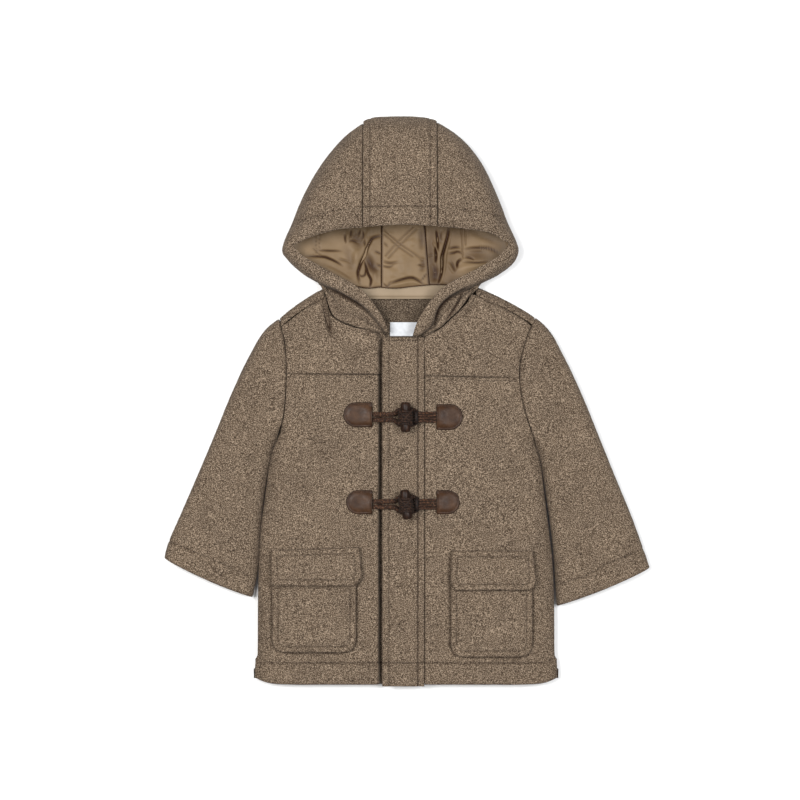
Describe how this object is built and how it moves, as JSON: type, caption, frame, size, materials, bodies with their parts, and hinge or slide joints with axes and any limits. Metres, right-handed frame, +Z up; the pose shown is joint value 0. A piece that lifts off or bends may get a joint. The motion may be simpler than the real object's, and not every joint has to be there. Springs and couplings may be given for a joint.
{
  "type": "hooded toggle coat (duffle coat) for a small child, laid flat",
  "caption": "Hooded wool-felt toggle coat laid flat on its back, with a quilted hood lining, front placket, yokes, flap pockets and leather toggle patches.",
  "frame": {"origin": "under the middle of the box, on the surface the coat lies on", "axes": "+Z up away from the surface, +Y from the hem to the hood, +X towards the wearer's left side"},
  "size_m": [0.4874, 0.5707, 0.0503],
  "materials": {
    "wool": "melange felted wool, matte",
    "satin": "quilted satin lining, soft sheen",
    "satin_band": "plain satin, soft sheen",
    "leather": "smooth dark brown leather, low gloss",
    "horn": "polished dark horn",
    "cord": "twisted dark brown cord",
    "label": "blank woven label"
  },
  "bodies": {
    "root": {"back": "wool", "front_right": "wool", "front_left": "wool", "yoke_right": "wool", "yoke_left": "wool", "placket": "wool", "sleeve_right": "wool", "sleeve_left": "wool", "pocket_right": "wool", "pocket_left": "wool", "pocket_flap_right": "wool", "pocket_flap_left": "wool", "hood_center": "wool", "hood_side_right": "wool", "hood_side_left": "wool", "back_neck_facing": "wool", "hood_lining_center": "satin", "hood_lining_right": "satin", "hood_lining_left": "satin", "neck_band": "satin_band", "label": "label", "leather_upper_right": "leather", "leather_upper_left": "leather", "leather_lower_right": "leather", "leather_lower_left": "leather", "toggle_upper": "horn", "toggle_lower": "horn", "cord_loop_upper": "cord", "cord_loop_lower": "cord", "cord_attach_upper": "cord", "cord_attach_lower": "cord"}
  },
  "joints": []
}
